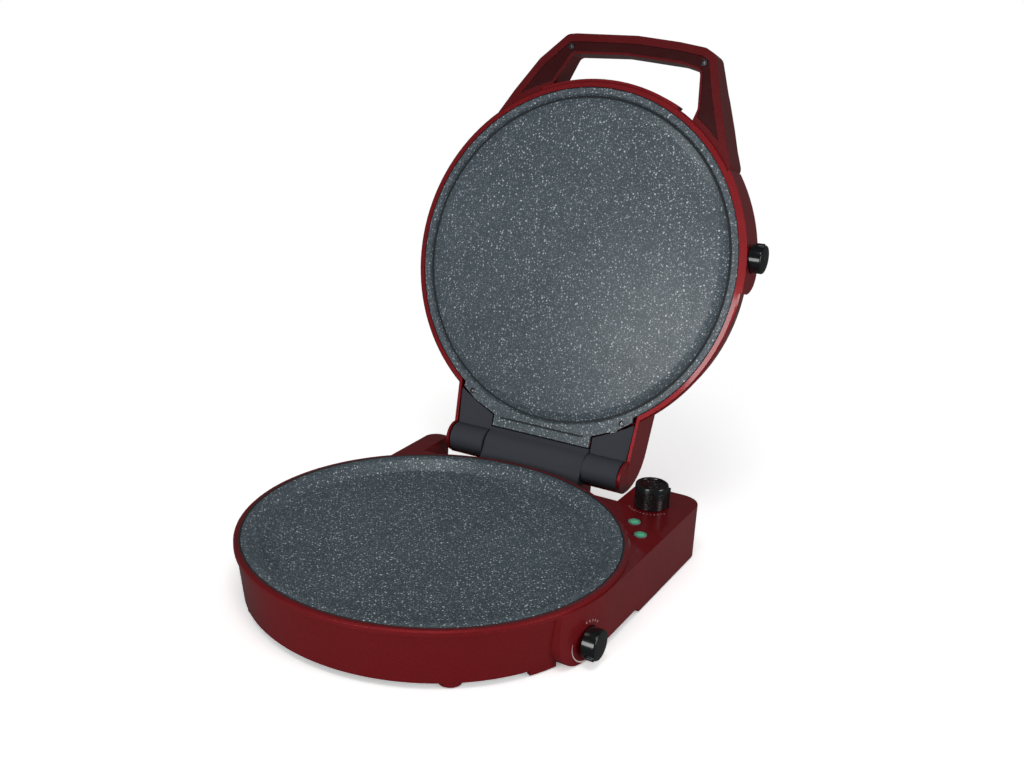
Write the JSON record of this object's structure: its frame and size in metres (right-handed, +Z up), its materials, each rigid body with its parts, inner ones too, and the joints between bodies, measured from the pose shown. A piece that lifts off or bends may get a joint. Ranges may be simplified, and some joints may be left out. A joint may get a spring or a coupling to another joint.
{
  "type": "electric pizza maker",
  "caption": "Countertop cooker with a round heated pan, a hinged heated lid with a loop handle, thermostat knobs and a timer.",
  "frame": {"origin": "centre of the round base on the standing surface", "axes": "+Z up, +Y towards the hinge at the back, +X towards the knobs on the right"},
  "size_m": [0.3529, 0.4945, 0.452],
  "materials": {
    "red_gloss": "metallic dark red, glossy",
    "slate_plastic": "satin slate black",
    "black_plastic": "matt black",
    "plate_coating": "dark grey coating with fine specks",
    "element_steel": "dull sheath",
    "plated_steel": "zinc plated",
    "sheet_aluminium": "bright sheet",
    "ceramic_body": "matt cream",
    "knob_black": "gloss black",
    "green_lens": "translucent green",
    "neon_glass": "clear",
    "wire_sleeve": "silicone sleeve",
    "rubber_grey": "matt"
  },
  "bodies": {
    "base": {"base_shell": "red_gloss", "bottom_cover": "black_plastic", "lower_plate": "plate_coating", "lower_element": "element_steel", "lower_element_clips": "plated_steel", "lower_reflector": "sheet_aluminium", "lower_thermostat": "ceramic_body", "timer_unit": "plated_steel", "timer_bell": "plated_steel", "lamp_lenses": "green_lens", "neon_lamps": "neon_glass", "terminal_block": "ceramic_body", "thermal_fuse": "plated_steel", "cord_gland": "black_plastic", "base_wiring": "wire_sleeve", "rubber_feet": "rubber_grey", "bottom_screws": "plated_steel", "lower_plate_screws": "plated_steel", "hinge_block": "slate_plastic", "hinge_pin": "plated_steel", "hinge_clips": "plated_steel", "hinge_block_screws": "plated_steel"},
    "lid": {"lid_shell": "red_gloss", "handle": "red_gloss", "handle_cover": "red_gloss", "handle_screws": "plated_steel", "upper_plate": "plate_coating", "upper_element": "element_steel", "upper_element_clips": "plated_steel", "upper_reflector": "sheet_aluminium", "upper_thermostat": "ceramic_body", "hinge_cover_left": "slate_plastic", "hinge_cover_right": "slate_plastic", "hinge_arms": "plated_steel", "hinge_arm_screws": "plated_steel", "upper_plate_screws": "plated_steel", "upper_fuse": "plated_steel", "lid_wiring": "wire_sleeve"},
    "lower_dial": {"lower_knob": "knob_black", "lower_knob_shaft": "plated_steel"},
    "timer_dial": {"timer_knob": "knob_black", "timer_shaft": "plated_steel"},
    "upper_dial": {"upper_knob": "knob_black", "upper_knob_shaft": "plated_steel"}
  },
  "joints": [
    {"name": "lid_hinge", "type": "hinge", "parent": "base", "child": "lid", "pos_m": [0, 0.1935, 0.0585], "axis": [1, 0, 0], "range_deg": [0, 105]},
    {"name": "lower_thermostat_turn", "type": "hinge", "parent": "base", "child": "lower_dial", "pos_m": [0.175, -0.035, 0.019], "axis": [1, 0, 0], "range_deg": [0, 270]},
    {"name": "timer_turn", "type": "hinge", "parent": "base", "child": "timer_dial", "pos_m": [0.136, 0.16, 0.06], "axis": [0, 0, 1], "range_deg": [-300, 0]},
    {"name": "upper_thermostat_turn", "type": "hinge", "parent": "lid", "child": "upper_dial", "pos_m": [0.176, 0.26506, 0.2676], "axis": [1, 0, 0], "range_deg": [0, 270]}
  ]
}
